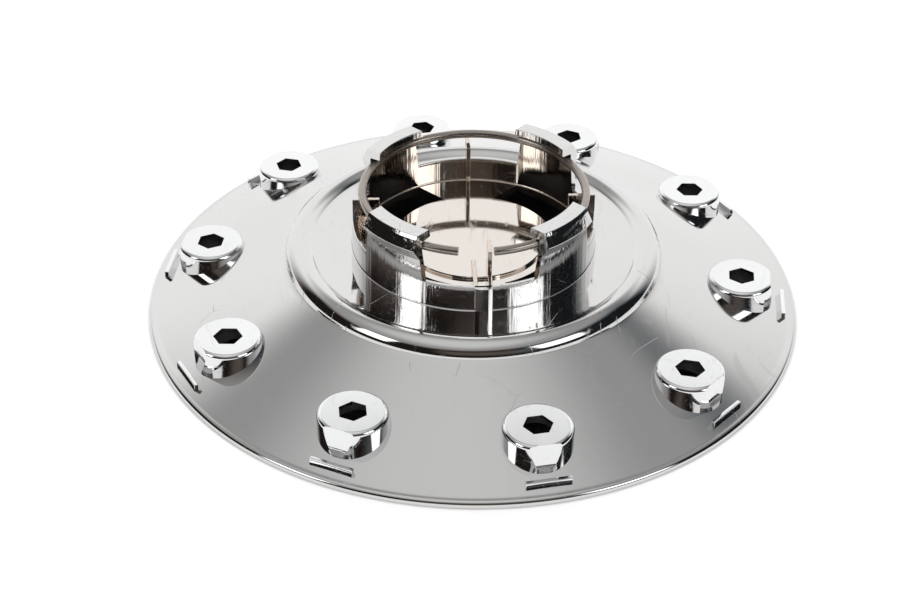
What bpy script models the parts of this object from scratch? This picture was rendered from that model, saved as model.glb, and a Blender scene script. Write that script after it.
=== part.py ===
"""Chrome-plated wheel centre cap, lying face down, with the spring ring of its snap collar.

Metres, +Z up. The origin is on the cap's axis, level with the flat edge of the rim.
The four snap fingers stand on the diagonals. The gap with the key and the ring's ends faces -Y.
"""

import math

import bmesh
import bpy
from mathutils import Matrix

# Disc: a rim with a flat land, a shallow cone, a round bead and a flat floor
RIM_RADIUS = 0.0950
RIM_HEIGHT = 0.0020
RIM_ROUND = 0.0012
RIM_CHAMFER = 0.0003
RIM_LAND = 0.0018
CONE_TOP_RADIUS = 0.0548
CONE_TOP_HEIGHT = 0.0168
BEAD_WIDTH = 0.0079
BEAD_RISE = 0.0026
FLOOR_HEIGHT = 0.0192
WALL = 0.0025
HUB_DISC_RADIUS = 0.0206
HUB_DISC_RISE = 0.0009

# Snap collar: heights are above the floor
COLLAR_RADIUS = 0.0354
COLLAR_WALL = 0.0019
COLLAR_HEIGHT = 0.0073
COLLAR_ROUND = 0.0005
COLLAR_DRAFT = 0.0005
FINGER_HEIGHT = 0.0212
FINGER_WIDTH_TOP = 0.0180
FINGER_WIDTH_ROOT = 0.0214
FINGER_COUNT = 4
LIP_REACH = 0.0035
LIP_EDGE = 0.0021
LIP_SLOPE = 0.0005
TOP_BEVEL = 0.0006
TOP_BEVEL_DROP = 0.0009
BARB_REACH = 0.0018
BARB_DROP = 0.0039
BARB_UNDERCUT = 0.0033

# Windows in the floor behind each finger
WINDOW_INNER_RADIUS = 0.0235
WINDOW_WIDTH = 0.0210
WINDOW_LEDGE = 0.0005

# Spring ring, and the clearances that it lies with
WIRE_DIAMETER = 0.0024
WIRE_CLEARANCE = 0.0004
RING_OPENING = 0.0098
RING_END_OFFSET = 0.0036

# Ribs in three of the gaps
RIB_THICKNESS = 0.0012
RIB_INNER_RADIUS = 0.0271
RIB_CLEARANCE = 0.0010

# Key in the fourth gap: a pad outside the collar, and two cheeks inside it, one with a fin
KEY_OFFSET = 0.00065
KEY_PAD_WIDTH = 0.0050
KEY_PAD_PROUD = 0.0006
KEY_CHEEK_SPREAD = 0.0053
KEY_CHEEK_INNER_RADIUS = 0.0211
KEY_FIN_INNER_RADIUS = 0.0224
KEY_FIN_OUTER_RADIUS = 0.0288

# Hollow round bosses with one flat side towards the rim, set in from the rim and rising from the cone
BOSS_COUNT = 10
BOSS_TO_RIM = 0.0168
BOSS_RISE = 0.0049
BOSS_RADIUS = 0.0095
BOSS_FLAT = 0.0082
BOSS_FLAT_LEAN = 0.15
BOSS_ROUND = 0.0012
BOSS_TOP_WALL = 0.0009
BOSS_SIDE_WALL = 0.0015
HEX_HOLE_ACROSS_FLATS = 0.0071

# Small tabs between the bosses and the rim
TAB_LENGTH = 0.0124
TAB_THICKNESS = 0.0012
TAB_TO_RIM = 0.0035
TAB_HEIGHT = 0.0021

# How finely round shapes are divided, and how far cutters reach past what they cut
TURN_STEPS = 96
BOSS_TURN_STEPS = 36
HOLLOW_SIDES = 24
ARC_STEPS = 4
ROUND_START = 30
RING_POINTS = 90
OVERCUT = 0.0010

FINGER_FIRST_ANGLE = math.radians(45)
BOSS_FIRST_ANGLE = math.radians(-45)
KEY_ANGLE = math.radians(-90)
SMOOTH_ANGLE = math.radians(30)
RIB_ANGLES = [math.radians(angle) for angle in (0, 90, 180)]

# Places that follow from the sizes above
LAND_RADIUS = RIM_RADIUS - RIM_LAND
CONE_SLOPE = (CONE_TOP_HEIGHT - RIM_HEIGHT) / (LAND_RADIUS - CONE_TOP_RADIUS)
CONE_WALL_DROP = WALL * math.hypot(1, CONE_SLOPE)
BEAD_INNER_RADIUS = CONE_TOP_RADIUS - BEAD_WIDTH
BORE_RADIUS = COLLAR_RADIUS - COLLAR_WALL
BOSS_CIRCLE_RADIUS = RIM_RADIUS - BOSS_TO_RIM
BOSS_TOP_HEIGHT = RIM_HEIGHT + (LAND_RADIUS - BOSS_CIRCLE_RADIUS) * CONE_SLOPE + BOSS_RISE
TAB_OUTER_RADIUS = RIM_RADIUS - TAB_TO_RIM
COLLAR_TOP = FLOOR_HEIGHT + COLLAR_HEIGHT
FINGER_TOP = FLOOR_HEIGHT + FINGER_HEIGHT
LIP_UNDERSIDE = FINGER_TOP - LIP_EDGE - LIP_SLOPE
WIRE_RADIUS = WIRE_DIAMETER / 2
RING_RADIUS = BORE_RADIUS - WIRE_CLEARANCE - WIRE_RADIUS
RING_HEIGHT = LIP_UNDERSIDE - WIRE_CLEARANCE - WIRE_RADIUS
RIB_TOP = RING_HEIGHT - WIRE_RADIUS - RIB_CLEARANCE


def arc(centre, radius, start, end, steps):
    """Points of a round stretch, from one angle to another in degrees, both ends included."""
    points = []
    for step in range(steps + 1):
        angle = math.radians(start + (end - start) * step / steps)
        points.append((centre[0] + radius * math.cos(angle), centre[1] + radius * math.sin(angle)))
    return points


def arc_over(first, last, rise, steps):
    """Points of the arc from first to last, outwards, that stands rise above their chord."""
    chord = math.dist(first, last)
    radius = (chord * chord / 4 + rise * rise) / (2 * rise)
    middle = ((first[0] + last[0]) / 2, (first[1] + last[1]) / 2)
    up = (-(last[1] - first[1]) / chord, (last[0] - first[0]) / chord)
    centre = (middle[0] + up[0] * (rise - radius), middle[1] + up[1] * (rise - radius))
    start = math.degrees(math.atan2(first[1] - centre[1], first[0] - centre[0]))
    end = math.degrees(math.atan2(last[1] - centre[1], last[0] - centre[0]))
    return arc(centre, radius, start, end, steps)


def collection(name, parent):
    made = bpy.data.collections.new(name)
    parent.children.link(made)
    return made


def add_object(name, data, place):
    obj = bpy.data.objects.new(name, data)
    place.objects.link(obj)
    return obj


def as_helper(obj):
    """Marks a cutter or a shape that another object takes in."""
    obj.hide_render = True
    obj.display_type = "WIRE"
    return obj


def turned(name, profile, place, closed=False, steps=TURN_STEPS):
    """A profile of (radius, height) points turned about the Z axis."""
    edges = [(index, index + 1) for index in range(len(profile) - 1)]
    if closed:
        edges.append((len(profile) - 1, 0))
    mesh = bpy.data.meshes.new(name)
    mesh.from_pydata([(radius, 0, height) for radius, height in profile], edges, [])
    obj = add_object(name, mesh, place)
    turn = obj.modifiers.new("Turn", "SCREW")
    turn.axis = "Z"
    turn.angle = math.tau
    turn.steps = steps
    turn.render_steps = steps
    turn.use_merge_vertices = True
    turn.merge_threshold = 0.00001
    turn.use_smooth_shade = False
    return obj


def plate(name, outline, middle, thickness, place, angle=0.0):
    """An upright outline of (x, z) points, thickened along Y and turned about the cap's axis."""
    mesh = bpy.data.meshes.new(name)
    corners = [(x, middle, height) for x, height in outline]
    mesh.from_pydata(corners, [], [range(len(corners))])
    obj = as_helper(add_object(name, mesh, place))
    obj.rotation_euler.z = angle
    thicken = obj.modifiers.new("Thickness", "SOLIDIFY")
    thicken.thickness = thickness
    thicken.offset = 0
    return obj


def rectangle(x_range, z_range):
    return [
        (x_range[0], z_range[0]),
        (x_range[1], z_range[0]),
        (x_range[1], z_range[1]),
        (x_range[0], z_range[1]),
    ]


def prism(name, sides, across_flats, z_range, place):
    """An upright prism whose first flat faces +X."""
    mesh = bpy.data.meshes.new(name)
    shape = bmesh.new()
    radius = across_flats / 2 / math.cos(math.pi / sides)
    height = z_range[1] - z_range[0]
    bmesh.ops.create_cone(
        shape, cap_ends=True, segments=sides, radius1=radius, radius2=radius, depth=height
    )
    bmesh.ops.translate(shape, verts=shape.verts, vec=(0, 0, z_range[0] + height / 2))
    turn = Matrix.Rotation(math.pi / sides - math.pi / 2, 3, "Z")
    bmesh.ops.rotate(shape, verts=shape.verts, matrix=turn)
    shape.to_mesh(mesh)
    shape.free()
    return add_object(name, mesh, place)


def combine(obj, operation, other):
    """A Boolean modifier that takes in one object, or every object of a collection."""
    step = obj.modifiers.new(operation.title(), "BOOLEAN")
    step.operation = operation
    step.solver = "EXACT"
    if isinstance(other, bpy.types.Collection):
        step.operand_type = "COLLECTION"
        step.collection = other
    else:
        step.object = other


def cross(name, half_width_at, z_range, place):
    """Two bars that cross on the axis, one along each pair of fingers, with sides that may lean."""
    low, high = z_range
    wide, narrow = half_width_at(low), half_width_at(high)
    outline = [(-wide, low), (wide, low), (narrow, high), (-narrow, high)]
    bars = []
    for turn in range(2):
        angle = FINGER_FIRST_ANGLE + (turn + 1) * math.pi / 2
        bars.append(plate(f"{name}_{turn}", outline, 0, 2 * RIM_RADIUS, place, angle))
    combine(bars[0], "UNION", bars[1])
    return bars[0]


def finger_half_width(height):
    lean = (FINGER_WIDTH_ROOT - FINGER_WIDTH_TOP) / 2 / (FINGER_TOP - COLLAR_TOP)
    return FINGER_WIDTH_ROOT / 2 - lean * (height - COLLAR_TOP)


def window_half_width(_height):
    return WINDOW_WIDTH / 2


def cone_height(radius):
    return RIM_HEIGHT + (LAND_RADIUS - radius) * CONE_SLOPE


def collar_profile():
    """The ring of fingers before the gaps are cut, from the bore over the top to the floor outside."""
    stem_outer = COLLAR_RADIUS - COLLAR_DRAFT
    lip_radius = BORE_RADIUS - LIP_REACH
    barb_height = FINGER_TOP - BARB_DROP
    return [
        (BORE_RADIUS, FLOOR_HEIGHT),
        (BORE_RADIUS, LIP_UNDERSIDE),
        (lip_radius, LIP_UNDERSIDE + LIP_SLOPE),
        (lip_radius, FINGER_TOP),
        (stem_outer - TOP_BEVEL / 2, FINGER_TOP),
        (stem_outer + TOP_BEVEL / 2, FINGER_TOP - TOP_BEVEL_DROP),
        (stem_outer + BARB_REACH, barb_height),
        (stem_outer, barb_height - BARB_UNDERCUT),
        (COLLAR_RADIUS, FLOOR_HEIGHT),
    ]


def body_profile():
    """The moulding's back face, from the axis out to the rim and down to the flat edge."""
    bead_inner = (BEAD_INNER_RADIUS, FLOOR_HEIGHT)
    bead_outer = (CONE_TOP_RADIUS, CONE_TOP_HEIGHT)
    profile = [
        (0, FLOOR_HEIGHT + HUB_DISC_RISE),
        (HUB_DISC_RADIUS, FLOOR_HEIGHT + HUB_DISC_RISE),
        (HUB_DISC_RADIUS, FLOOR_HEIGHT),
    ]
    profile += collar_profile()
    profile += arc_over(bead_inner, bead_outer, BEAD_RISE, 2 * ARC_STEPS)
    profile.append((LAND_RADIUS, RIM_HEIGHT))
    corner = (RIM_RADIUS - RIM_ROUND, RIM_HEIGHT - RIM_ROUND)
    profile += arc(corner, RIM_ROUND, 90, 0, ARC_STEPS)
    profile += [(RIM_RADIUS, RIM_CHAMFER), (RIM_RADIUS - RIM_CHAMFER, 0), (0, 0)]
    return profile


def underside_void(place):
    """The hollow front of the cap, one wall below the back face."""
    reach = (RIM_HEIGHT - CONE_WALL_DROP + OVERCUT) / CONE_SLOPE
    profile = [
        (0, FLOOR_HEIGHT - WALL),
        (BEAD_INNER_RADIUS, FLOOR_HEIGHT - WALL),
        (CONE_TOP_RADIUS, CONE_TOP_HEIGHT - CONE_WALL_DROP),
        (LAND_RADIUS + reach, -OVERCUT),
        (0, -OVERCUT),
    ]
    return as_helper(turned("underside_void", profile, place))


def gap_cutter(place):
    """What stands between the fingers, above the low part of the collar and round its outer edge."""
    edge_height = COLLAR_TOP - COLLAR_ROUND
    past_top = FINGER_TOP + OVERCUT
    reach = COLLAR_RADIUS + BARB_REACH + OVERCUT
    drafted_height = FINGER_HEIGHT - BARB_DROP - BARB_UNDERCUT
    drafted_radius = COLLAR_RADIUS - COLLAR_DRAFT * COLLAR_HEIGHT / drafted_height
    centre = (drafted_radius - COLLAR_ROUND, edge_height)
    tangent_radius = centre[0] + COLLAR_ROUND / math.cos(math.radians(ROUND_START))
    profile = [(0, past_top), (reach, past_top), (reach, edge_height), (tangent_radius, edge_height)]
    profile += arc(centre, COLLAR_ROUND, ROUND_START, 90, ARC_STEPS // 2)
    profile.append((0, COLLAR_TOP))
    cutter = as_helper(turned("gap_cutter", profile, place))
    past = (edge_height - OVERCUT, past_top + OVERCUT)
    combine(cutter, "DIFFERENCE", cross("finger_bars", finger_half_width, past, place))
    return cutter


def window_cutter(place, bars_place):
    """The windows through the floor, one behind each finger."""
    inner, outer = WINDOW_INNER_RADIUS, BORE_RADIUS - WINDOW_LEDGE
    low, high = FLOOR_HEIGHT - WALL - OVERCUT, FLOOR_HEIGHT + OVERCUT
    profile = [(inner, high), (outer, high), (outer, low), (inner, low)]
    cutter = as_helper(turned("window_cutter", profile, place, closed=True))
    past = (low - OVERCUT, high + OVERCUT)
    combine(cutter, "INTERSECT", cross("window_bars", window_half_width, past, bars_place))
    return cutter


def boss_mesh(scratch):
    """A round head with a soft top edge, and a flat side facing +X that leans out towards its foot."""
    corner = (BOSS_RADIUS - BOSS_ROUND, BOSS_TOP_HEIGHT - BOSS_ROUND)
    profile = [(0, BOSS_TOP_HEIGHT)]
    profile += arc(corner, BOSS_ROUND, 90, 0, ARC_STEPS)
    profile += [(BOSS_RADIUS, OVERCUT), (0, OVERCUT)]
    head = turned("boss_head", profile, scratch, steps=BOSS_TURN_STEPS)
    head.rotation_euler.z = math.pi / BOSS_TURN_STEPS
    past = [
        (BOSS_FLAT + BOSS_FLAT_LEAN * BOSS_TOP_HEIGHT, 0),
        (2 * BOSS_RADIUS, 0),
        (2 * BOSS_RADIUS, BOSS_TOP_HEIGHT + OVERCUT),
        (BOSS_FLAT - BOSS_FLAT_LEAN * OVERCUT, BOSS_TOP_HEIGHT + OVERCUT),
    ]
    beyond = plate("boss_flat", past, 0, 3 * BOSS_RADIUS, scratch)
    combine(head, "DIFFERENCE", beyond)
    bpy.context.view_layer.update()
    mesh = bpy.data.meshes.new_from_object(head.evaluated_get(bpy.context.evaluated_depsgraph_get()))
    mesh.transform(Matrix.Rotation(math.pi / BOSS_TURN_STEPS, 4, "Z"))
    for obj in (head, beyond):
        bpy.data.objects.remove(obj)
    return mesh


def around(radius, angle):
    return (radius * math.cos(angle), radius * math.sin(angle), 0)


def add_bosses(additions, cuts, scratch):
    """Ten heads on the cone, each hollow from below and open at its hexagonal hole."""
    head = boss_mesh(scratch)
    hollow_radius = BOSS_FLAT - BOSS_SIDE_WALL
    hollow_top = BOSS_TOP_HEIGHT - BOSS_TOP_WALL
    hollow_range = (OVERCUT, hollow_top)
    hollow = prism("boss_hollow", HOLLOW_SIDES, 2 * hollow_radius, hollow_range, scratch)
    hole_range = (hollow_top - OVERCUT, BOSS_TOP_HEIGHT + OVERCUT)
    hole = prism("hex_hole", 6, HEX_HOLE_ACROSS_FLATS, hole_range, scratch)
    for index in range(BOSS_COUNT):
        angle = BOSS_FIRST_ANGLE + index * math.tau / BOSS_COUNT
        shapes = (("boss", head, additions), ("hollow", hollow.data, cuts), ("hole", hole.data, cuts))
        for name, mesh, place in shapes:
            obj = as_helper(add_object(f"{name}_{index}", mesh, place))
            obj.location = around(BOSS_CIRCLE_RADIUS, angle)
            obj.rotation_euler.z = angle
    for pattern in (hollow, hole):
        bpy.data.objects.remove(pattern)


def add_tabs(additions):
    """A small upright tab outside each boss, across the radius."""
    foot = cone_height(TAB_OUTER_RADIUS)
    x_range = (TAB_OUTER_RADIUS - TAB_THICKNESS, TAB_OUTER_RADIUS)
    outline = rectangle(x_range, (foot - OVERCUT, foot + TAB_HEIGHT))
    for index in range(BOSS_COUNT):
        angle = BOSS_FIRST_ANGLE + index * math.tau / BOSS_COUNT
        plate(f"tab_{index}", outline, 0, TAB_LENGTH, additions, angle)


def add_ribs(additions):
    """Thin upright plates across the collar, under the ring, in three of the gaps."""
    x_range = (RIB_INNER_RADIUS, COLLAR_RADIUS - COLLAR_DRAFT)
    outline = rectangle(x_range, (FLOOR_HEIGHT - WALL / 2, RIB_TOP))
    for index, angle in enumerate(RIB_ANGLES):
        plate(f"rib_{index}", outline, 0, RIB_THICKNESS, additions, angle)


def add_key(additions):
    """The fourth gap: a pad on the collar, and two cheeks inside it, one of them with a fin."""
    root = FLOOR_HEIGHT - WALL / 2
    pad_inner = BORE_RADIUS + COLLAR_WALL / 2
    cheek_outer = BORE_RADIUS + COLLAR_WALL / 4
    side = (KEY_CHEEK_SPREAD - RIB_THICKNESS) / 2
    pad = rectangle((pad_inner, COLLAR_RADIUS + KEY_PAD_PROUD), (root, COLLAR_TOP))
    cheek = rectangle((KEY_CHEEK_INNER_RADIUS, cheek_outer), (root, COLLAR_TOP))
    cheek_with_fin = [
        (KEY_CHEEK_INNER_RADIUS, root),
        (cheek_outer, root),
        (cheek_outer, COLLAR_TOP),
        (KEY_FIN_OUTER_RADIUS, COLLAR_TOP),
        (KEY_FIN_OUTER_RADIUS, RIB_TOP),
        (KEY_FIN_INNER_RADIUS, RIB_TOP),
        (KEY_FIN_INNER_RADIUS, COLLAR_TOP),
        (KEY_CHEEK_INNER_RADIUS, COLLAR_TOP),
    ]
    plate("key_pad", pad, KEY_OFFSET, KEY_PAD_WIDTH, additions, KEY_ANGLE)
    plate("key_cheek", cheek, KEY_OFFSET - side, RIB_THICKNESS, additions, KEY_ANGLE)
    plate("key_fin", cheek_with_fin, KEY_OFFSET + side, RIB_THICKNESS, additions, KEY_ANGLE)


def metal(name, colour, roughness):
    made = bpy.data.materials.new(name)
    made.use_nodes = True
    shader = made.node_tree.nodes["Principled BSDF"]
    shader.inputs["Base Color"].default_value = (*colour, 1)
    shader.inputs["Metallic"].default_value = 1
    shader.inputs["Roughness"].default_value = roughness
    return made


def make_moulding(parts, cutters):
    additions = collection("additions", cutters)
    cuts = collection("cuts", cutters)
    bars = collection("bars", cutters)
    body = turned("cap_moulding", body_profile(), parts)
    body.data.materials.append(metal("chrome_plating", (0.78, 0.77, 0.75), 0.05))
    combine(body, "DIFFERENCE", gap_cutter(bars))
    add_bosses(additions, cuts, bars)
    add_tabs(additions)
    add_ribs(additions)
    add_key(additions)
    combine(body, "UNION", additions)
    underside_void(cuts)
    window_cutter(cuts, bars)
    combine(body, "DIFFERENCE", cuts)


def make_ring(parts):
    """The open wire ring, from one side of the key's gap round to the other."""
    first = KEY_ANGLE + math.asin(RING_END_OFFSET / RING_RADIUS)
    sweep = math.tau - 2 * math.asin(RING_OPENING / 2 / RING_RADIUS)
    curve = bpy.data.curves.new("spring_ring", "CURVE")
    curve.dimensions = "3D"
    curve.twist_mode = "Z_UP"
    curve.bevel_depth = WIRE_RADIUS
    curve.bevel_resolution = 3
    curve.use_fill_caps = True
    spline = curve.splines.new("POLY")
    spline.points.add(RING_POINTS)
    for index, point in enumerate(spline.points):
        angle = first + sweep * index / RING_POINTS
        x, y, _ = around(RING_RADIUS, angle)
        point.co = (x, y, RING_HEIGHT, 1)
    curve.materials.append(metal("spring_steel", (0.42, 0.38, 0.34), 0.3))
    add_object("spring_ring", curve, parts)


def finish(parts):
    """Keeps each part as a plain mesh, smooth where it is round and crisp at its edges."""
    bpy.context.view_layer.update()
    depsgraph = bpy.context.evaluated_depsgraph_get()
    for obj in list(parts.objects):
        mesh = bpy.data.meshes.new_from_object(obj.evaluated_get(depsgraph))
        mesh.shade_smooth()
        mesh.set_sharp_from_angle(angle=SMOOTH_ANGLE)
        name = obj.name
        bpy.data.objects.remove(obj)
        mesh.name = name
        add_object(name, mesh, parts)


def main():
    for obj in list(bpy.data.objects):
        bpy.data.objects.remove(obj)
    scene_root = bpy.context.scene.collection
    parts = collection("wheel_centre_cap", scene_root)
    cutters = collection("cutters", scene_root)
    make_moulding(parts, cutters)
    make_ring(parts)
    finish(parts)


main()
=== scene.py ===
# %% [markdown]
# # A chrome wheel centre cap, seen from its back
#
# The cap is one plastic moulding with bright plating all over it, and one open ring of steel wire. It lies face
# down on a white table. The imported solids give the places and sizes. This lesson builds finer pieces in the same
# places, and then spends its time on the metal, because polished metal looks like whatever stands round it.

import math

import bmesh
import bpy
from mathutils import Matrix, Vector


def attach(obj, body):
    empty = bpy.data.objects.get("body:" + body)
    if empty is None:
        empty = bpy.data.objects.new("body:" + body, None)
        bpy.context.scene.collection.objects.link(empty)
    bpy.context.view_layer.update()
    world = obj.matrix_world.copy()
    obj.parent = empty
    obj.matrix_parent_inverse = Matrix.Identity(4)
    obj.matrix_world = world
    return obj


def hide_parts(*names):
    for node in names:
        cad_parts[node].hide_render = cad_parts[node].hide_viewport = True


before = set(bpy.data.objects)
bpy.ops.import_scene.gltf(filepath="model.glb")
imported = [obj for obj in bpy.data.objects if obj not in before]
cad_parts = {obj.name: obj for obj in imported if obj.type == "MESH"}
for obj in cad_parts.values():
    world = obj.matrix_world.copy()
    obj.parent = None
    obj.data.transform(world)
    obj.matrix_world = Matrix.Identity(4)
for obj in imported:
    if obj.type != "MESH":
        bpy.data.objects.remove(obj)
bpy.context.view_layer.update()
MM = 0.001
scene = bpy.context.scene

# %% [markdown]
# ## Helpers for hand modelling
#
# Every operator acts on what is selected, so each piece starts with nothing selected. A turned piece is drawn as
# one line of points, extruded point by point, and spun round the axis. That is how such a mould is cut on a
# lathe, so the same profile gives the same clean rings.


# %% Selecting and turning
def start_fresh():
    if bpy.context.object and bpy.context.object.mode != "OBJECT":
        bpy.ops.object.mode_set(mode="OBJECT")
    bpy.ops.object.select_all(action="DESELECT")


def pick(obj):
    start_fresh()
    bpy.context.view_layer.objects.active = obj
    obj.select_set(True)


def edit(obj):
    pick(obj)
    bpy.ops.object.mode_set(mode="EDIT")


def place_in_mesh(name):
    """Names the picked object, and moves its place and turn into its mesh."""
    obj = bpy.context.object
    obj.name = name
    bpy.ops.object.transform_apply(location=True, rotation=True, scale=True)
    return obj


def turned(name, profile, steps, closed=False, centre=(0, 0)):
    """Extrudes a line of (radius, height) points, in millimetres, and spins it round an upright axis."""
    start_fresh()
    x, y = centre
    points = [(r * MM, z * MM) for r, z in profile]
    bpy.ops.mesh.primitive_plane_add(size=MM, location=(x * MM + points[0][0], y * MM, points[0][1]))
    obj = place_in_mesh(name)
    edit(obj)
    bpy.ops.mesh.merge(type="CENTER")
    for (r0, z0), (r1, z1) in zip(points, points[1:] + points[:1] if closed else points[1:]):
        bpy.ops.mesh.extrude_region_move(TRANSFORM_OT_translate={"value": (r1 - r0, 0, z1 - z0)})
    bpy.ops.mesh.select_all(action="SELECT")
    bpy.ops.mesh.spin(steps=steps, angle=math.tau, center=(x * MM, y * MM, 0), axis=(0, 0, 1))
    bpy.ops.mesh.select_all(action="SELECT")
    bpy.ops.mesh.remove_doubles(threshold=1e-6)
    bpy.ops.mesh.normals_make_consistent(inside=False)
    bpy.ops.object.mode_set(mode="OBJECT")
    return obj


def report(obj):
    """Prints how many faces a piece has, and how many of its edges are open."""
    shape = bmesh.new()
    shape.from_mesh(obj.data)
    loose = sum(1 for e in shape.edges if len(e.link_faces) != 2)
    volume = round(shape.calc_volume() / MM**3)
    print(obj.name, "faces", len(shape.faces), "open edges", loose, "volume mm3", volume)
    shape.free()


# %% [markdown]
# ## Rounded corners in a profile
#
# Plating never leaves a knife edge: the metal builds up on each corner, and each corner shows as a thin bright
# line. So each corner of a profile gets its own small radius, drawn as a short arc.


# %% Corners
def rounded(corners, steps=4):
    """Corners are (radius, height) or (radius, height, corner radius). Returns the line with its arcs."""
    line = []
    for index, corner in enumerate(corners):
        here = Vector(corner[:2])
        if len(corner) < 3 or index in (0, len(corners) - 1):
            line.append(tuple(here))
            continue
        to_last = (Vector(corners[index - 1][:2]) - here).normalized()
        to_next = (Vector(corners[index + 1][:2]) - here).normalized()
        half = to_last.angle(to_next) / 2
        reach = corner[2] / math.tan(half)
        middle = here + (to_last + to_next).normalized() * (corner[2] / math.sin(half))
        first, last = here + to_last * reach - middle, here + to_next * reach - middle
        sweep = first.angle_signed(last)
        for step in range(steps + 1):
            turn = Matrix.Rotation(-sweep * step / steps, 2)
            line.append(tuple(middle + turn @ first))
    return line


def bowed(first, last, rise, steps):
    """A line of points from first to last that swells by rise."""
    a, b = Vector(first), Vector(last)
    chord = (b - a).length
    radius = (chord * chord / 4 + rise * rise) / (2 * rise)
    up = Vector((-(b - a).y, (b - a).x)).normalized()
    centre = (a + b) / 2 + up * (rise - radius)
    sweep = (a - centre).angle_signed(b - centre)
    return [tuple(centre + Matrix.Rotation(-sweep * s / steps, 2) @ (a - centre)) for s in range(steps + 1)]


def split(line, length):
    """Adds points so that no stretch of the line is longer than length."""
    fine = [line[0]]
    for a, b in zip(line, line[1:]):
        parts = max(1, math.ceil(math.dist(a, b) / length))
        fine += [(a[0] + (b[0] - a[0]) * n / parts, a[1] + (b[1] - a[1]) * n / parts) for n in range(1, parts + 1)]
    return fine


# %% [markdown]
# ## The disc
#
# The disc is the largest form: a flat floor in the middle, a round bead, a shallow cone and a narrow rim. Its
# front is hollow, so the profile comes back underneath, one wall lower. The cone is divided into many short
# rings. Where a hole is cut later, the uneven faces then stay close to the hole and hidden under its boss.

# %% Disc profile
# Radii, then heights, in millimetres.
RIM, LAND, CONE_TOP, BEAD_IN, STEP = 95.0, 93.2, 54.8, 46.9, 20.6
EDGE_HEIGHT, CONE_TOP_HEIGHT, FLOOR, STEP_HEIGHT = 2.0, 16.8, 19.2, 20.1
BEAD_RISE, WALL = 2.45, 2.5
RING_STEPS = 320
SLOPE = (CONE_TOP_HEIGHT - EDGE_HEIGHT) / (LAND - CONE_TOP)
DROP = WALL * math.hypot(1, SLOPE)


def cone(radius):
    """The height of the cone's back at a radius."""
    return EDGE_HEIGHT + (LAND - radius) * SLOPE


top = [(0, STEP_HEIGHT), (20.35, STEP_HEIGHT), (STEP, 19.85), (STEP, 19.3), (20.7, FLOOR), (45.9, FLOOR)]
top += bowed((BEAD_IN, 19.32), (54.7, 16.95), BEAD_RISE, 14)
top += split([(55.2, cone(55.2)), (92.9, cone(92.9))], 1.3)
top += rounded([(93.3, EDGE_HEIGHT), (RIM, EDGE_HEIGHT, 1.2), (RIM, 0.0, 0.2), (93.8, 0.0)], steps=8)
foot = LAND + (EDGE_HEIGHT - DROP) / SLOPE
under = [(foot, 0.0)] + split([(foot - 0.3, 0.3 * SLOPE), (CONE_TOP, CONE_TOP_HEIGHT - DROP)], 1.5)
under += [(BEAD_IN, FLOOR - WALL), (0, FLOOR - WALL)]
disc = turned("disc", top + under, RING_STEPS)
report(disc)

# %% [markdown]
# ## Holes in the disc
#
# Ten round holes lie under the bosses, because each boss is hollow from the front. Behind each snap finger the
# floor has a window, where a part of the mould reached through to shape the finger's lip. A Boolean does both.
# It is applied at once, so the piece that is handed on is a plain mesh.


# %% Boolean helper
def boolean(obj, operation, *others):
    for other in others:
        pick(obj)
        step = obj.modifiers.new(operation, "BOOLEAN")
        step.operation, step.solver, step.object = operation, "EXACT", other
        bpy.ops.object.modifier_apply(modifier=step.name)
        bpy.data.objects.remove(other)
    return obj


def bar(name, x_range, y_range, z_range, angle=0.0):
    """An upright block between millimetre limits, turned about the cap's axis."""
    start_fresh()
    size = [(high - low) * MM for low, high in (x_range, y_range, z_range)]
    middle = Vector([sum(limits) / 2 * MM for limits in (x_range, y_range, z_range)])
    turn = Matrix.Rotation(angle, 3, "Z")
    bpy.ops.mesh.primitive_cube_add(size=1, location=turn @ middle, rotation=(0, 0, angle))
    bpy.context.object.scale = size
    return place_in_mesh(name)


def join(objects):
    start_fresh()
    for obj in objects:
        obj.select_set(True)
    bpy.context.view_layer.objects.active = objects[0]
    bpy.ops.object.join()
    return objects[0]


# %% [markdown]
# The windows are the parts of one turned ring that four bars cover, so their long edges follow the collar and
# their short sides are straight. The holes are plain cylinders, smaller than the bosses that will hide them.

# %% Windows and boss holes
BOSS_RING, HOLE_RADIUS = 78.2, 6.9
BOSS_ANGLES = [math.radians(-45 + 36 * n) for n in range(10)]
FINGER_ANGLES = [math.radians(45 + 90 * n) for n in range(4)]
WINDOW_IN, WINDOW_OUT, WINDOW_HALF = 23.5, 33.0, 10.5
window_line = [(WINDOW_IN, 22), (WINDOW_OUT, 22), (WINDOW_OUT, 14), (WINDOW_IN, 14)]
sleeve = turned("window_ring", window_line, 160, closed=True)
bars = [bar("window_bar", (10, 60), (-WINDOW_HALF, WINDOW_HALF), (13, 23), angle) for angle in FINGER_ANGLES]
windows = boolean(sleeve, "INTERSECT", join(bars))
holes = []
for angle in BOSS_ANGLES:
    start_fresh()
    place = (BOSS_RING * MM * math.cos(angle), BOSS_RING * MM * math.sin(angle), 6 * MM)
    bpy.ops.mesh.primitive_cylinder_add(vertices=48, radius=HOLE_RADIUS * MM, depth=16 * MM, location=place)
    holes.append(place_in_mesh("boss_hole"))
boolean(disc, "DIFFERENCE", windows, join(holes))
report(disc)

# %% [markdown]
# ## The snap collar
#
# The collar is a ring that stands on the floor. It is turned at its full height first, with the barb outside and
# the lip inside. Each corner where it meets the floor is filled with a small arc, because a mould is rounded
# there and the arc shows as a bright line.

# %% Collar ring
# Radii, then heights, in millimetres. Pieces that stand on the floor start at SUNK_FOOT, inside the wall.
BORE, COLLAR, STEM, BARB, LIP = 33.5, 35.4, 34.9, 36.7, 30.0
COLLAR_TOP, SUNK_FOOT = 40.4, 17.9


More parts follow.
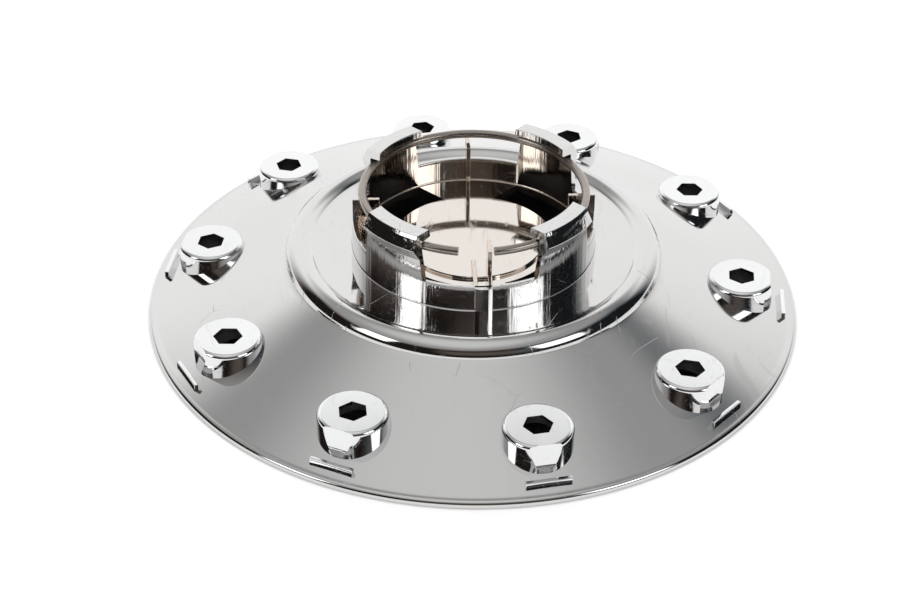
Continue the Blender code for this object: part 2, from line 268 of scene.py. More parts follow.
def arc(centre, radius, angles):
    return [(centre[0] + radius * math.cos(a), centre[1] + radius * math.sin(a)) for a in angles]


inner_foot = [(BORE, SUNK_FOOT), (BORE, 18.8), (33.06, 19.12)]
inner_foot += arc((33.0, 19.7), 0.5, (-1.4, -1.05, -0.7, -0.35, 0.0))
outer_foot = arc((35.745, 19.6), 0.4, (math.pi, 3.5, 3.9, 4.3, 4.65)) + [(COLLAR, 18.6), (COLLAR, SUNK_FOOT)]
lip_and_barb = [
    (BORE, 37.8, 0.3), (LIP, 38.3, 0.25), (LIP, COLLAR_TOP, 0.3), (34.6, COLLAR_TOP, 0.25),
    (35.2, 39.5, 0.3), (BARB, 36.5, 0.35), (STEM, 33.2, 0.4),
]
ring_line = rounded(inner_foot + lip_and_barb + outer_foot)
collar = turned("snap_collar", split(ring_line, 3.0), RING_STEPS, closed=True)
report(collar)

# %% [markdown]
# Everything above the low wall is now cut away, except the four fingers. Their sides lean in a little, as a mould
# needs. The cutter is a turned ring that also rounds the wall's top, and two crossed leaning bars taken out of it
# keep the fingers.

# %% Cut the gaps between the fingers
WALL_TOP = 26.5
cutter_line = [(20, 46), (45, 46), (45, 26.0), (35.24, 26.0)]
cutter_line += arc((34.71, 26.0), 0.5, (0.5, 0.85, 1.2, math.pi / 2))
cutter_line += [(34.0, WALL_TOP), (33.8, WALL_TOP), (33.2, 25.9), (20, 25.9)]
gap = turned("gap_cutter", cutter_line, RING_STEPS, closed=True)


def leaning_bar(name, wide, narrow, z_range, angle):
    """A long bar whose top face is narrower than its foot."""
    obj = bar(name, (-60, 60), (-wide, wide), z_range, 0)
    edit(obj)
    bpy.ops.mesh.select_all(action="DESELECT")
    shape = bmesh.from_edit_mesh(obj.data)
    for face in shape.faces:
        face.select = face.normal.z > 0.9
    bmesh.update_edit_mesh(obj.data)
    bpy.ops.transform.resize(value=(1, narrow / wide, 1))
    bpy.ops.object.mode_set(mode="OBJECT")
    obj.rotation_euler.z = angle
    pick(obj)
    return place_in_mesh(name)


FINGER_WIDE, FINGER_NARROW = 21.4, 18.0
BAR_LOW, BAR_HIGH = 25, 48
lean = (FINGER_WIDE - FINGER_NARROW) / 2 / (COLLAR_TOP - WALL_TOP)
low_half = FINGER_WIDE / 2 + lean * (WALL_TOP - BAR_LOW)
high_half = FINGER_WIDE / 2 - lean * (BAR_HIGH - WALL_TOP)
crossed = boolean(
    leaning_bar("bar_a", low_half, high_half, (BAR_LOW, BAR_HIGH), math.radians(45)),
    "UNION",
    leaning_bar("bar_b", low_half, high_half, (BAR_LOW, BAR_HIGH), math.radians(135)),
)
boolean(gap, "DIFFERENCE", crossed)
boolean(collar, "DIFFERENCE", gap)
report(collar)

# %% [markdown]
# ## The bosses
#
# Each boss looks like the head of a wheel bolt, but it is moulded in and hollow. It is round, with a soft top edge
# and one flat side towards the rim. The flat leans out, so it narrows towards its foot. Ten bosses could be
# modelled in place, but one that is made on the axis is simpler to slice and hollow, and its copies are all alike.
# These helpers cut along a plane, make a hexagonal block, bevel sharp edges and shade by the large faces.


# %% Helpers for a boss
def slice_off(obj, point, keep):
    """Cuts along a plane, keeps the side that the direction points to, and closes the cut."""
    edit(obj)
    bpy.ops.mesh.select_all(action="SELECT")
    bpy.ops.mesh.bisect(plane_co=point, plane_no=keep, use_fill=True, clear_inner=True)
    bpy.ops.object.mode_set(mode="OBJECT")


def six_sided(name, across_flats, low, high):
    start_fresh()
    radius = across_flats / 2 / math.cos(math.pi / 6) * MM
    middle = (0, 0, (low + high) / 2 * MM)
    bpy.ops.mesh.primitive_cylinder_add(vertices=6, radius=radius, depth=(high - low) * MM, location=middle)
    return place_in_mesh(name)


def bevel(obj, width, angle=35):
    """Rounds the edges that are sharper than the angle, with two steps."""
    pick(obj)
    step = obj.modifiers.new("round_edges", "BEVEL")
    step.width, step.segments, step.limit_method = width * MM, 2, "ANGLE"
    step.angle_limit = math.radians(angle)
    step.use_clamp_overlap = True
    bpy.ops.object.modifier_apply(modifier=step.name)
    return obj


def weigh_normals(obj, angle=50):
    """Lets the large flat faces set the shading, so that only the rounded edges bend the light."""
    pick(obj)
    bpy.ops.object.shade_smooth_by_angle(angle=math.radians(angle))
    step = obj.modifiers.new("weigh", "WEIGHTED_NORMAL")
    step.weight, step.keep_sharp = 100, True
    bpy.ops.object.modifier_apply(modifier=step.name)
    return obj


# %% [markdown]
# The boss is turned a little longer than it needs to be, so that the leaning cut runs right through it. A thin
# wall and a thin top are left when the inside and the hexagonal hole are taken out.

# %% One boss
BOSS_TOP, BOSS_BOTTOM, BOSS_RADIUS, BOSS_HOLLOW, HEX_WIDTH = 12.68, 2.0, 9.5, 6.7, 7.1
BOSS_FLAT, FLAT_LEAN = 8.2, 0.15
head = [(0, BOSS_TOP), (BOSS_RADIUS, BOSS_TOP, 1.2), (BOSS_RADIUS, BOSS_BOTTOM), (0, BOSS_BOTTOM)]
boss = turned("boss", rounded(head, steps=10), 120)
slice_off(boss, (BOSS_FLAT * MM, 0, BOSS_TOP * MM), (-1, 0, -FLAT_LEAN))
inside = turned("boss_inside", [(0, 11.8), (6.4, 11.8), (BOSS_HOLLOW, 11.5), (BOSS_HOLLOW, -1), (0, -1)], 64)
boolean(boss, "DIFFERENCE", inside, six_sided("hex_hole", HEX_WIDTH, 10, 14))
report(boss)

# %% [markdown]
# A small bevel on the finished boss rounds the edges of its face and of its hexagonal hole. Each copy is turned
# so that its flat faces the rim, and its foot is cut along the slope of the cone, half way into the wall.

# %% Bevel the boss and copy it
bevel(boss, 0.14, 40)
report(boss)
bosses = []
for number, angle in enumerate(BOSS_ANGLES):
    pick(boss)
    bpy.ops.object.duplicate(linked=False)
    made = bpy.context.object
    made.location = (BOSS_RING * MM * math.cos(angle), BOSS_RING * MM * math.sin(angle), 0)
    made.rotation_euler.z = angle
    place_in_mesh(f"boss_{number}")
    out = Vector((math.cos(angle), math.sin(angle), 0))
    foot_point = out * BOSS_RING * MM + Vector((0, 0, (cone(BOSS_RING) - DROP * 0.55) * MM))
    slice_off(made, foot_point, (out.x * SLOPE, out.y * SLOPE, 1))
    bosses.append(made)
bpy.data.objects.remove(boss)
report(bosses[0])

# %% [markdown]
# ## Tabs, ribs and the key
#
# Ten small tabs stand between the bosses and the rim. Thin ribs cross the collar in three of its gaps. The fourth
# gap has a key: a pad on the outside, two cheeks inside, and a fin on one cheek. A plate is a block with bevelled
# edges, because plating rounds them. The pad's face bows out and throws a narrow light, so its block keeps only
# what lies inside a round post.


# %% Thin plates
def plate(name, x_range, thickness, z_range, angle, offset=0.0):
    half = thickness / 2
    return bevel(bar(name, x_range, (offset - half, offset + half), z_range, angle), 0.15)


THIN, TAB_OUT, TAB_LONG, TAB_RISE = 1.2, 91.5, 12.4, 2.1
tab_foot = cone(TAB_OUT)
tab, tab_height = (TAB_OUT - THIN, TAB_OUT), (tab_foot - 0.8, tab_foot + TAB_RISE)
tabs = [plate(f"tab_{n}", tab, TAB_LONG, tab_height, a) for n, a in enumerate(BOSS_ANGLES)]
RIB_TOP = 34.0
ribs = [plate(f"rib_{n}", (27.1, 34.85), THIN, (SUNK_FOOT, RIB_TOP), math.radians(90 * n)) for n in range(3)]
KEY, OFF, SIDE = math.radians(-90), 0.65, 2.05
PAD_HALF, POST_RADIUS, POST_PLACE = 2.5, 5.3, (OFF, -30.7)
low = (SUNK_FOOT, WALL_TOP)
pad = bar("key_pad", (33.9, 36.0), (OFF - PAD_HALF, OFF + PAD_HALF), low, KEY)
post = turned("pad_post", [(0, 10), (POST_RADIUS, 10), (POST_RADIUS, 40), (0, 40)], 120, centre=POST_PLACE)
bevel(boolean(pad, "INTERSECT", post), 0.2, 40)
cheek_left = plate("key_cheek_left", (21.1, 34.0), THIN, low, KEY, OFF - SIDE)
cheek_right = plate("key_cheek_right", (21.1, 34.0), THIN, low, KEY, OFF + SIDE)
fin = plate("key_fin", (22.4, 28.8), 1.16, (25.0, RIB_TOP), KEY, OFF + SIDE)
key = [pad, cheek_left, cheek_right, fin]
print("plates:", len(tabs + ribs + key))

# %% [markdown]
# ## The spring ring
#
# The ring is drawn steel wire, bent round and cut off square, with its two ends apart at the key. It could be a
# bevelled curve, but a filled circle that is spun through most of a turn gives the same round wire at once, as a
# plain mesh with closed ends.

# %% Wire
WIRE, RING_RADIUS, RING_HEIGHT = 1.2, 31.9, 36.2
END_PAST_KEY, END_GAP = 3.6, 9.8
start_angle = KEY + math.asin(END_PAST_KEY / RING_RADIUS)
ring_sweep = math.tau - 2 * math.asin(END_GAP / 2 / RING_RADIUS)
start_fresh()
place = Vector((math.cos(start_angle), math.sin(start_angle), 0)) * RING_RADIUS * MM
place += Vector((0, 0, RING_HEIGHT * MM))
bpy.ops.mesh.primitive_circle_add(
    vertices=24, radius=WIRE * MM, fill_type="NGON", location=place, rotation=(math.pi / 2, 0, start_angle)
)
wire = place_in_mesh("spring_wire")
edit(wire)
bpy.ops.mesh.select_all(action="SELECT")
bpy.ops.mesh.spin(steps=240, angle=-ring_sweep, center=(0, 0, 0), axis=(0, 0, 1))
bpy.ops.mesh.select_all(action="SELECT")
bpy.ops.mesh.normals_make_consistent(inside=False)
bpy.ops.object.mode_set(mode="OBJECT")
report(wire)

# %% [markdown]
# ## Smooth shading
#
# Polished metal shows every facet. Smooth shading blends the faces of a round form, and sharper edges stay crisp:
# above thirty degrees on the disc and the wire, and above fifty on the collar and the plates. On the bosses
# twelve degrees is the limit, because their flat side fades out towards the foot and would blur.

# %% Shade
moulding = [disc, collar] + bosses + tabs + ribs + key
for piece in (disc, wire):
    pick(piece)
    bpy.ops.object.shade_smooth_by_angle(angle=math.radians(30))
for piece in [collar] + tabs + ribs + key:
    weigh_normals(piece)
for piece in bosses:
    weigh_normals(piece, 12)
print("smooth pieces:", len(moulding) + 1)

# %% [markdown]
# ## Which solids the pieces stand for
#
# Each piece is tied to the body that it moves with, and the solid that it replaces is hidden. The
# moulding and the wire lie still together, so both ride on the root.

# %% Tie the pieces to the solids
for piece in moulding:
    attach(piece, "root")
    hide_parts("cap_moulding")
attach(wire, "root")
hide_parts("spring_ring")
print("pieces of the moulding:", len(moulding))

# %% [markdown]
# ## Shader nodes by name
#
# A material is a small network. This helper adds one node, sets its values and wires its inputs, so that each
# network reads from top to bottom.


# %% Node helper
def add_node(tree, kind, inputs=None, **settings):
    node = tree.nodes.new(kind)
    for name, value in settings.items():
        setattr(node, name, value)
    for key, value in (inputs or {}).items():
        socket = node.inputs[key]
        if isinstance(value, bpy.types.NodeSocket):
            tree.links.new(value, socket)
        else:
            socket.default_value = value
    return node


def math_node(tree, operation, a, b=0.0, c=0.0):
    return add_node(tree, "ShaderNodeMath", {0: a, 1: b, 2: c}, operation=operation).outputs[0]


def ramp_between(tree, value, low, high, start=0.0, end=1.0):
    """Goes smoothly from start to end as value goes from low to high."""
    sockets = {"Value": value, "From Min": low, "From Max": high, "To Min": start, "To Max": end}
    return add_node(tree, "ShaderNodeMapRange", sockets, interpolation_type="SMOOTHSTEP").outputs["Result"]


# %% [markdown]
# ## Handling marks, as one group
#
# Bright plating is soft to the eye: wiping it leaves hairlines, dust leaves specks, and tools leave a few longer
# scratches. Both metals use the same marks, so they are one group that puts out three masks and a height.


# %% Marks group
def marks_group():
    tree = bpy.data.node_groups.new("handling_marks", "ShaderNodeTree")
    face = tree.interface
    face.new_socket("Scale", in_out="INPUT", socket_type="NodeSocketFloat").default_value = 1.0
    for name in ("Hairlines", "Scratches", "Haze", "Height"):
        face.new_socket(name, in_out="OUTPUT", socket_type="NodeSocketFloat")
    given = tree.nodes.new("NodeGroupInput")
    place = add_node(tree, "ShaderNodeTexCoord").outputs["Object"]
    scaled = add_node(tree, "ShaderNodeVectorMath", {0: place, "Scale": given.outputs["Scale"]}, operation="SCALE")
    bent = add_node(tree, "ShaderNodeTexNoise", {"Vector": scaled.outputs[0], "Scale": 22.0, "Detail": 2.0})
    away = add_node(tree, "ShaderNodeVectorMath", {0: bent.outputs["Color"], "Scale": 0.05}, operation="SCALE")
    warped = add_node(tree, "ShaderNodeVectorMath", {0: scaled.outputs[0], 1: away.outputs[0]}, operation="ADD")
    lines = []
    for turn, size in ((0.4, 300.0), (1.7, 380.0), (2.6, 340.0)):
        stretched = {"Vector": warped.outputs[0], "Rotation": (0.2, 0.1, turn), "Scale": (1, 0.035, 1)}
        stretched = add_node(tree, "ShaderNodeMapping", stretched).outputs[0]
        noise = add_node(tree, "ShaderNodeTexNoise", {"Vector": stretched, "Scale": size, "Detail": 1.0})
        lines.append(ramp_between(tree, noise.outputs["Fac"], 0.64, 0.73))
    hairlines = math_node(tree, "MAXIMUM", math_node(tree, "MAXIMUM", lines[0], lines[1]), lines[2])
    cells = add_node(
        tree, "ShaderNodeTexVoronoi", {"Vector": warped.outputs[0], "Scale": 38.0}, feature="DISTANCE_TO_EDGE"
    )
    where = add_node(tree, "ShaderNodeTexNoise", {"Vector": scaled.outputs[0], "Scale": 55.0, "Detail": 2.0})
    thin = ramp_between(tree, cells.outputs["Distance"], 0.0, 0.006, 1.0, 0.0)
    scratches = math_node(tree, "MULTIPLY", thin, ramp_between(tree, where.outputs["Fac"], 0.60, 0.68))
    wide = add_node(tree, "ShaderNodeTexNoise", {"Vector": scaled.outputs[0], "Scale": 16.0, "Detail": 5.0})
    haze = ramp_between(tree, wide.outputs["Fac"], 0.4, 0.75)
    depth = math_node(tree, "MAXIMUM", math_node(tree, "MULTIPLY", hairlines, 0.35), scratches)
    height = math_node(tree, "MULTIPLY", depth, -1.0)
    results = {"Hairlines": hairlines, "Scratches": scratches, "Haze": haze, "Height": height}
    add_node(tree, "NodeGroupOutput", results)
    return tree


marks = marks_group()
print("nodes in the marks group:", len(marks.nodes))


def new_material(name):
    made = bpy.data.materials.new(name)
    made.use_nodes = True
    tree = made.node_tree
    return made, tree, tree.nodes["Principled BSDF"]


# %% [markdown]
# ## Single scratches, and streaks from the mould
#
# A few marks are large enough to know one by one: short nicks across the bead, and longer scratches on the floor
# and the cone. One group measures how far a point lies from a line between two places. Another group makes the
# fine upright streaks that polishing leaves on the collar, which smear a reflection sideways.


# %% Scratch and streak groups
def scratch_group():
    tree = bpy.data.node_groups.new("single_scratch", "ShaderNodeTree")
    face = tree.interface
    for name in ("Start", "End"):
        face.new_socket(name, in_out="INPUT", socket_type="NodeSocketVector")
    face.new_socket("Width", in_out="INPUT", socket_type="NodeSocketFloat").default_value = 0.0001
    face.new_socket("Mask", in_out="OUTPUT", socket_type="NodeSocketFloat")
    given = tree.nodes.new("NodeGroupInput")

    def vector(operation, a, b=(0, 0, 0), scale=1.0):
        inputs = {0: a, "Scale": scale} if operation == "SCALE" else {0: a, 1: b}
        return add_node(tree, "ShaderNodeVectorMath", inputs, operation=operation)

    place = vector("MULTIPLY", add_node(tree, "ShaderNodeTexCoord").outputs["Object"], (1, 1, 0)).outputs[0]
    along = vector("SUBTRACT", given.outputs["End"], given.outputs["Start"]).outputs[0]
    rel = vector("SUBTRACT", place, given.outputs["Start"]).outputs[0]
    share = math_node(
        tree,
        "DIVIDE",
        vector("DOT_PRODUCT", rel, along).outputs["Value"],
        vector("DOT_PRODUCT", along, along).outputs["Value"],
    )
    share = math_node(tree, "MINIMUM", math_node(tree, "MAXIMUM", share, 0.0), 1.0)
    away = vector("SUBTRACT", rel, vector("SCALE", along, scale=share).outputs[0]).outputs[0]
    distance = vector("LENGTH", away).outputs["Value"]
    mask = ramp_between(tree, distance, 0.0, given.outputs["Width"], 1.0, 0.0)
    add_node(tree, "NodeGroupOutput", {"Mask": mask})
    return tree


def streak_group():
    tree = bpy.data.node_groups.new("mould_streaks", "ShaderNodeTree")
    tree.interface.new_socket("Height", in_out="OUTPUT", socket_type="NodeSocketFloat")
    place = add_node(tree, "ShaderNodeTexCoord").outputs["Object"]
    tall = add_node(tree, "ShaderNodeMapping", {"Vector": place, "Scale": (1, 1, 0.02)})
    fine = add_node(tree, "ShaderNodeTexNoise", {"Vector": tall.outputs[0], "Scale": 900.0, "Detail": 3.0})
    add_node(tree, "NodeGroupOutput", {"Height": fine.outputs["Fac"]})
    return tree


single_scratch = scratch_group()
mould_streaks = streak_group()
# Start and end of each, seen from above, in millimetres.
SCRATCHES = [
    ((-30.2, -31.0), (-25.6, -26.4)), ((27.2, -25.6), (28.8, -28.6)), ((18.0, -42.9), (20.9, -37.4)),
    ((-42.4, -37.3), (-37.3, -31.1)), ((-38.0, -42.1), (-37.1, -39.8)), ((-8.1, -58.8), (-6.7, -55.3)),
    ((-49.6, -26.5), (-48.8, -23.2)), ((-20.2, -53.6), (-20.1, -56.1)), ((32.1, -42.7), (32.3, -48.0)),
    ((37.0, -39.2), (37.8, -41.9)), ((45.3, -19.9), (49.7, -24.1)), ((39.2, -51.0), (42.0, -47.6)),
    ((42.0, -47.6), (48.3, -41.9)), ((22.7, -51.1), (29.2, -50.7)), ((29.2, -50.7), (32.4, -46.5)),
]
print("single scratches:", len(SCRATCHES))

# %% [markdown]
# ## Bright plating
#
# Chrome throws back about two thirds of the light. The bosses and tabs are the same chrome with a brighter tint,
# a painted highlight for the brighter light they throw back. Deep inside the collar a warm tint is painted, a
# painted reflection of the brown seen there. Scratches and haze dull the colour. The roughness stays low, and the
# marks raise it.


# %% Plating material
DULL, SCRATCH_WIDTH = (0.42, 0.41, 0.40, 1), 0.00022
DEEP_RADIUS, DEEP_HEIGHT = (0.0333, 0.0339), (0.0368, 0.0379)


def plating(name, tint, painted_reflection_tint, base_roughness, marks_scale=1.0, scratches=(), streaks=0.0):
    made, tree, shader = new_material(name)
    shader.inputs["Metallic"].default_value = 1.0
    wear = add_node(tree, "ShaderNodeGroup", node_tree=marks)
    wear.inputs["Scale"].default_value = marks_scale
    cuts = wear.outputs["Scratches"]
    for start, end in scratches:
        one = add_node(tree, "ShaderNodeGroup", node_tree=single_scratch)
        one.inputs["Start"].default_value = (start[0] * MM, start[1] * MM, 0)
        one.inputs["End"].default_value = (end[0] * MM, end[1] * MM, 0)
        one.inputs["Width"].default_value = SCRATCH_WIDTH
        cuts = math_node(tree, "MAXIMUM", cuts, one.outputs["Mask"])
    place = add_node(tree, "ShaderNodeTexCoord").outputs["Object"]
    flat = add_node(tree, "ShaderNodeVectorMath", {0: place, 1: (1, 1, 0)}, operation="MULTIPLY")
    radius = add_node(tree, "ShaderNodeVectorMath", {0: flat.outputs[0]}, operation="LENGTH").outputs["Value"]
    height = add_node(tree, "ShaderNodeSeparateXYZ", {0: place}).outputs["Z"]
    # Painted reflection: a warm tint inside the bore and low down, standing in for the brown reflected there.
    inner = ramp_between(tree, radius, *DEEP_RADIUS, 1.0, 0.0)
    painted_reflection_mask = math_node(tree, "MULTIPLY", inner, ramp_between(tree, height, *DEEP_HEIGHT, 1.0, 0.0))
    colour = {"Factor": painted_reflection_mask, "A": (*tint, 1), "B": (*painted_reflection_tint, 1)}
    colour = add_node(tree, "ShaderNodeMix", colour, data_type="RGBA").outputs["Result"]
    spots = math_node(tree, "MULTIPLY", wear.outputs["Haze"], 0.12)
    spots = math_node(tree, "MAXIMUM", spots, math_node(tree, "MULTIPLY", cuts, 0.3))
    dulled = add_node(tree, "ShaderNodeMix", {"Factor": spots, "A": colour, "B": DULL}, data_type="RGBA")
    tree.links.new(dulled.outputs["Result"], shader.inputs["Base Color"])
    rough = base_roughness
    for mask, amount in ((wear.outputs["Haze"], 0.05), (wear.outputs["Hairlines"], 0.10), (cuts, 0.42)):
        rough = math_node(tree, "MULTIPLY_ADD", mask, amount, rough)
    tree.links.new(rough, shader.inputs["Roughness"])
    marks_bump = {"Height": wear.outputs["Height"], "Strength": 0.02, "Distance": 0.0002}
    dents = add_node(tree, "ShaderNodeBump", marks_bump).outputs["Normal"]
    if streaks:
        drawn = add_node(tree, "ShaderNodeGroup", node_tree=mould_streaks).outputs["Height"]
        streaks_bump = {"Height": drawn, "Strength": streaks, "Distance": 0.0001, "Normal": dents}
        dents = add_node(tree, "ShaderNodeBump", streaks_bump).outputs["Normal"]
    tree.links.new(dents, shader.inputs["Normal"])
    return made


# The second colour of each is the warm painted reflection deep inside the collar.
cap_plating = plating("cap_plating", (0.685, 0.68, 0.675), (0.74, 0.695, 0.65), 0.05, scratches=SCRATCHES)
collar_plating = plating("collar_plating", (0.69, 0.685, 0.68), (0.72, 0.63, 0.55), 0.06, 1.4, streaks=0.9)
# Painted highlight: the bosses and tabs are the same chrome as the disc, tinted brighter.
painted_highlight_tint = (0.84, 0.845, 0.85)
painted_bright_plating = plating("painted_bright_plating", painted_highlight_tint, painted_highlight_tint, 0.045, 1.6)
for piece in moulding:
    piece.data.materials.clear()
    finish = painted_bright_plating if piece in bosses + tabs else cap_plating if piece == disc else collar_plating
    piece.data.materials.append(finish)
print("plating on", len(moulding), "pieces")

# %% [markdown]
# ## Drawn steel wire
#
# Wire is pulled through a die, so its marks run along it. Round the ring that means lines at a fixed radius and
# height: the pattern is read from those two, with only a little of the way round.

# %% Wire material
drawn_steel, tree, shader = new_material("drawn_steel")
shader.inputs["Metallic"].default_value = 1.0
place = add_node(tree, "ShaderNodeTexCoord").outputs["Object"]
axes = add_node(tree, "ShaderNodeSeparateXYZ", {0: place})
flat = add_node(tree, "ShaderNodeVectorMath", {0: place, 1: (1, 1, 0)}, operation="MULTIPLY")
radius = add_node(tree, "ShaderNodeVectorMath", {0: flat.outputs[0]}, operation="LENGTH").outputs["Value"]
around = math_node(tree, "MULTIPLY", math_node(tree, "ARCTAN2", axes.outputs["Y"], axes.outputs["X"]), 0.0016)
along = add_node(tree, "ShaderNodeCombineXYZ", {0: radius, 1: around, 2: axes.outputs["Z"]})
grain = add_node(tree, "ShaderNodeTexNoise", {"Vector": along.outputs[0], "Scale": 5200.0, "Detail": 3.0})
tone = add_node(tree, "ShaderNodeTexNoise", {"Vector": place, "Scale": 90.0, "Detail": 3.0})
wear = add_node(tree, "ShaderNodeGroup", node_tree=marks)
wear.inputs["Scale"].default_value = 2.0
steel = {"Factor": tone.outputs["Fac"], "A": (0.30, 0.265, 0.235, 1), "B": (0.46, 0.42, 0.385, 1)}
steel = add_node(tree, "ShaderNodeMix", steel, data_type="RGBA")
tree.links.new(steel.outputs["Result"], shader.inputs["Base Color"])
rough = math_node(tree, "MULTIPLY_ADD", grain.outputs["Fac"], 0.22, 0.16)
tree.links.new(math_node(tree, "MULTIPLY_ADD", wear.outputs["Scratches"], 0.2, rough), shader.inputs["Roughness"])
dents = add_node(tree, "ShaderNodeBump", {"Height": grain.outputs["Fac"], "Strength": 0.25, "Distance": 0.00005})
tree.links.new(dents.outputs["Normal"], shader.inputs["Normal"])
wire.data.materials.clear()
wire.data.materials.append(drawn_steel)
print("nodes in the steel:", len(tree.nodes))

# %% [markdown]
# ## The table
#
# The table is plain white and pale to the camera. Most of its brightness is its own plain white, and the rest is
# light that falls on it, so the cap still leaves a thin shadow where it touches. Under the cap it is painted a
# darker grey without that glow, a painted shade, so that the holes in the bosses and the windows look as deep as
# they are.

# %% Floor
UNDER_CAP, BESIDE_CAP = 0.0940, 0.0958
start_fresh()
bpy.ops.mesh.primitive_plane_add(size=6, location=(0, 0, 0))
table = place_in_mesh("table")
white, tree, shader = new_material("table_white")
shader.inputs["Roughness"].default_value = 0.9
path = add_node(tree, "ShaderNodeLightPath")
seen = math_node(tree, "MAXIMUM", path.outputs["Is Camera Ray"], path.outputs["Is Glossy Ray"])
seen = math_node(tree, "MAXIMUM", seen, path.outputs["Is Transmission Ray"])
spot = add_node(tree, "ShaderNodeTexCoord").outputs["Object"]
out_from = add_node(tree, "ShaderNodeVectorMath", {0: spot}, operation="LENGTH").outputs["Value"]
outside = ramp_between(tree, out_from, UNDER_CAP, BESIDE_CAP)
# Painted shade: inside the cap's radius the table is a darker grey, and outside it is plain white.
painted_shade_colour = {"Factor": outside, "A": (0.28, 0.28, 0.28, 1), "B": (0.8, 0.8, 0.8, 1)}
painted_shade_colour = add_node(tree, "ShaderNodeMix", painted_shade_colour, data_type="RGBA").outputs["Result"]
tree.links.new(painted_shade_colour, shader.inputs["Base Color"])
plain_white = math_node(tree, "MULTIPLY", math_node(tree, "MULTIPLY", seen, outside), 0.62)
glow = add_node(tree, "ShaderNodeEmission", {"Color": (1, 1, 1, 1), "Strength": plain_white})
both = add_node(tree, "ShaderNodeAddShader", {0: shader.outputs[0], 1: glow.outputs[0]})
tree.links.new(both.outputs[0], tree.nodes["Material Output"].inputs["Surface"])
table.data.materials.append(white)
print("table nodes:", len(tree.nodes))

# %% [markdown]
# ## Masks for a studio that is drawn on the sky
#
# A mirror needs something to reflect. Lamps and cards could stand round the cap, but they would be seen from some
# sides, and each would have to be moved by hand. A room that is painted on the world by direction is simpler: a
# mask says where each light is, and soft edges cost nothing.


# %% Directions and soft boxes
PHOTO_TURN = 3.4  # degrees from the photograph's own axes to the cap's


def direction(azimuth, elevation):
    a, e = math.radians(azimuth - PHOTO_TURN), math.radians(elevation)
    return Vector((math.cos(a) * math.cos(e), math.sin(a) * math.cos(e), math.sin(e)))


def facing(tree, given, axis):
    """How far a direction turns towards an axis, from -1 to 1."""
    inputs = {0: given, 1: tuple(axis)}
    return add_node(tree, "ShaderNodeVectorMath", inputs, operation="DOT_PRODUCT").outputs["Value"]


def soft_box(tree, ray, azimuth, elevation, width, height, blur):
    """A mask of a box of light seen in one direction, with widths as tangents of the half angle."""
    front = direction(azimuth, elevation)
    side = front.cross(Vector((0, 0, 1))).normalized()
    up = side.cross(front)
    to_front, to_side, to_top = [facing(tree, ray, axis) for axis in (front, side, up)]
    ahead = math_node(tree, "MAXIMUM", to_front, 0.0001)
    across = math_node(tree, "ABSOLUTE", math_node(tree, "DIVIDE", to_side, ahead))
    upward = math_node(tree, "ABSOLUTE", math_node(tree, "DIVIDE", to_top, ahead))
    inside_width = ramp_between(tree, across, width - blur, width + blur, 1.0, 0.0)
    inside_height = ramp_between(tree, upward, height - blur, height + blur, 1.0, 0.0)
    return math_node(tree, "MULTIPLY", inside_width, inside_height)


# %% [markdown]
# ## The studio
#
# The photograph's reflections tell what stood round the cap: a white wall behind, a grey ceiling that is brighter
# overhead and dimmer to the right, a soft box on each side in front, a faint light between them, and darkness
# elsewhere. The dark parts are a little warm, and cool on the far right. The half below the table is lit too,
# which shows only when the cap is seen from underneath. The camera itself sees plain white.

# %% World
WALL_LIGHT, BOX_LIGHT, FILL_LIGHT, LEAST_LIGHT = 1.1, 2.6, 0.10, 0.015
WARM, COOL, WHITE = (1, 0.82, 0.72, 1), (0.78, 0.92, 1, 1), (1, 1, 1, 1)
world = bpy.data.worlds.new("studio")
scene.world = world
world.use_nodes = True
tree = world.node_tree
ray = add_node(tree, "ShaderNodeTexCoord").outputs["Generated"]
xyz = add_node(tree, "ShaderNodeSeparateXYZ", {0: ray})
height = xyz.outputs["Z"]
level = add_node(tree, "ShaderNodeVectorMath", {0: ray, 1: (1, 1, 0)}, operation="MULTIPLY")
level = add_node(tree, "ShaderNodeVectorMath", {0: level.outputs[0]}, operation="NORMALIZE").outputs[0]
back = facing(tree, level, direction(90, 0))
leftward = facing(tree, ray, direction(180, 0))
behind = ramp_between(tree, back, 0.34, 0.84)
wall = math_node(tree, "MULTIPLY", behind, ramp_between(tree, height, 0.58, 0.76, 1.0, 0.0))
ceiling = ramp_between(tree, math_node(tree, "MULTIPLY_ADD", leftward, 0.08, height), 0.60, 0.80)
to_right = math_node(tree, "MINIMUM", leftward, 0.0)
overhead = ramp_between(tree, math_node(tree, "MULTIPLY_ADD", to_right, 0.2, height), 0.78, 1.0, 0.38, 0.74)
below = ramp_between(tree, height, -0.02, -0.3, 0.0, 0.7)
left_box = soft_box(tree, ray, -150, 29, 0.17, 0.21, 0.04)
right_box = soft_box(tree, ray, -37, 29, 0.23, 0.21, 0.05)
front_fill = soft_box(tree, ray, -80, 24, 0.5, 0.2, 0.15)
light = math_node(tree, "MULTIPLY_ADD", wall, WALL_LIGHT, LEAST_LIGHT)
light = math_node(tree, "MULTIPLY_ADD", ceiling, overhead, light)
light = math_node(tree, "MULTIPLY_ADD", front_fill, FILL_LIGHT, light)
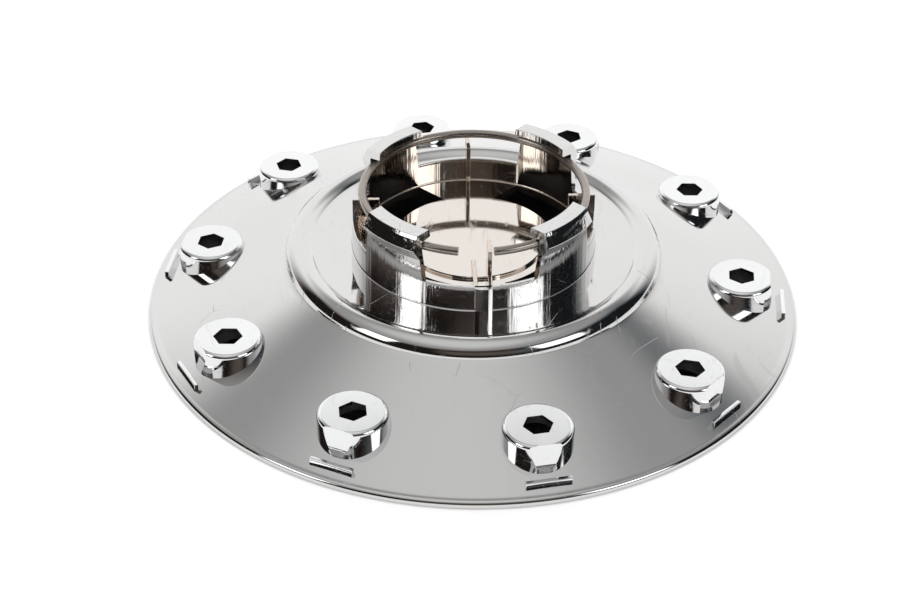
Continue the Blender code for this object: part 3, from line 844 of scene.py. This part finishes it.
light = math_node(tree, "ADD", light, below)
for box in (left_box, right_box):
    light = math_node(tree, "MULTIPLY_ADD", box, BOX_LIGHT, light)
path = add_node(tree, "ShaderNodeLightPath").outputs["Is Camera Ray"]
strength = math_node(tree, "MAXIMUM", light, path)
background = tree.nodes["Background"]
sides = {"Factor": ramp_between(tree, leftward, -0.25, -0.55), "A": WARM, "B": COOL}
sides = add_node(tree, "ShaderNodeMix", sides, data_type="RGBA").outputs["Result"]
colour = {"Factor": ramp_between(tree, strength, 0.02, 0.42), "A": sides, "B": WHITE}
colour = add_node(tree, "ShaderNodeMix", colour, data_type="RGBA").outputs["Result"]
tree.links.new(colour, background.inputs["Color"])
tree.links.new(strength, background.inputs["Strength"])
print("world nodes:", len(tree.nodes))

# %% [markdown]
# ## The camera
#
# The camera stands half a metre away and looks down at 36 degrees, with a long lens, as in the photograph. Its
# place was worked out from the rim, the collar and the bosses. It could be aimed with a constraint, but a matrix
# that is built from its own right, up and backward directions holds the photograph's slight roll as well.

# %% Camera
PHOTO_WIDTH, FOCAL_PIXELS, SENSOR = 920, 1755.1, 36
elevation, distance, roll = math.radians(35.608), 0.51682, math.radians(0.605)
target = Vector((-0.003695, -0.006718, 0))
ahead = Vector((0, math.cos(elevation), -math.sin(elevation)))
side = Vector((1, 0, 0))
up = side.cross(ahead)
right = side * math.cos(roll) + up * math.sin(roll)
above = up * math.cos(roll) - side * math.sin(roll)
spot = target - ahead * distance
seat = Matrix([(right[i], above[i], -ahead[i], spot[i]) for i in range(3)] + [(0, 0, 0, 1)])
camera = bpy.data.objects.new("camera", bpy.data.cameras.new("camera"))
scene.collection.objects.link(camera)
camera.matrix_world = Matrix.Rotation(math.radians(-PHOTO_TURN), 4, "Z") @ seat
camera.data.sensor_width = SENSOR
camera.data.lens = FOCAL_PIXELS * SENSOR / PHOTO_WIDTH
camera.data.clip_start = 0.01
scene.camera = camera
scene.view_settings.view_transform = "Standard"
print("lens in mm:", round(camera.data.lens, 1))
